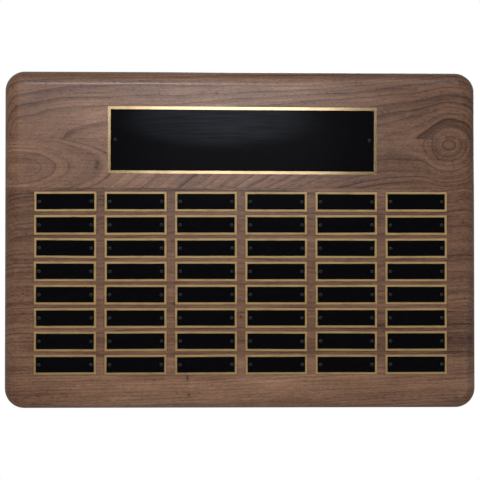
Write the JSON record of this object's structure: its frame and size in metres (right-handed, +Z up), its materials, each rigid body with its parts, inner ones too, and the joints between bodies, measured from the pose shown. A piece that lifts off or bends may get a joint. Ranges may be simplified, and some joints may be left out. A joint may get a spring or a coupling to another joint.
{
  "type": "perpetual wall plaque",
  "caption": "Landscape walnut wall plaque with rounded corners, a wide blank header plate and a grid of small blank nameplates, hung on a flush keyhole hanger.",
  "frame": {"origin": "hang point: centre of the upper end of the hanger's keyhole slot, in the plane of the board's back", "axes": "+Z up the wall, +Y out of the back into the wall, +X to the right seen from the front; the front faces -Y"},
  "size_m": [0.5334, 0.0249, 0.381],
  "materials": {
    "walnut": "satin lacquer over oiled black walnut",
    "black_brass": "black enamel over brass with a bare brass border",
    "black_steel": "black oxide, lightly oiled",
    "zinc_steel": "zinc plated pressed steel"
  },
  "bodies": {
    "root": {"stave_1": "walnut", "stave_2": "walnut", "stave_3": "walnut", "stave_4": "walnut", "stave_5": "walnut", "stave_6": "walnut", "header_plate": "black_brass", "header_screw_left": "black_steel", "header_screw_right": "black_steel", "nameplate_row1_col1": "black_brass", "nameplate_row1_col2": "black_brass", "nameplate_row1_col3": "black_brass", "nameplate_row1_col4": "black_brass", "nameplate_row1_col5": "black_brass", "nameplate_row1_col6": "black_brass", "nameplate_row2_col1": "black_brass", "nameplate_row2_col2": "black_brass", "nameplate_row2_col3": "black_brass", "nameplate_row2_col4": "black_brass", "nameplate_row2_col5": "black_brass", "nameplate_row2_col6": "black_brass", "nameplate_row3_col1": "black_brass", "nameplate_row3_col2": "black_brass", "nameplate_row3_col3": "black_brass", "nameplate_row3_col4": "black_brass", "nameplate_row3_col5": "black_brass", "nameplate_row3_col6": "black_brass", "nameplate_row4_col1": "black_brass", "nameplate_row4_col2": "black_brass", "nameplate_row4_col3": "black_brass", "nameplate_row4_col4": "black_brass", "nameplate_row4_col5": "black_brass", "nameplate_row4_col6": "black_brass", "nameplate_row5_col1": "black_brass", "nameplate_row5_col2": "black_brass", "nameplate_row5_col3": "black_brass", "nameplate_row5_col4": "black_brass", "nameplate_row5_col5": "black_brass", "nameplate_row5_col6": "black_brass", "nameplate_row6_col1": "black_brass", "nameplate_row6_col2": "black_brass", "nameplate_row6_col3": "black_brass", "nameplate_row6_col4": "black_brass", "nameplate_row6_col5": "black_brass", "nameplate_row6_col6": "black_brass", "nameplate_row7_col1": "black_brass", "nameplate_row7_col2": "black_brass", "nameplate_row7_col3": "black_brass", "nameplate_row7_col4": "black_brass", "nameplate_row7_col5": "black_brass", "nameplate_row7_col6": "black_brass", "nameplate_row8_col1": "black_brass", "nameplate_row8_col2": "black_brass", "nameplate_row8_col3": "black_brass", "nameplate_row8_col4": "black_brass", "nameplate_row8_col5": "black_brass", "nameplate_row8_col6": "black_brass", "keyhole_hanger": "zinc_steel", "hanger_screw_upper": "zinc_steel", "hanger_screw_lower": "zinc_steel"}
  },
  "joints": []
}
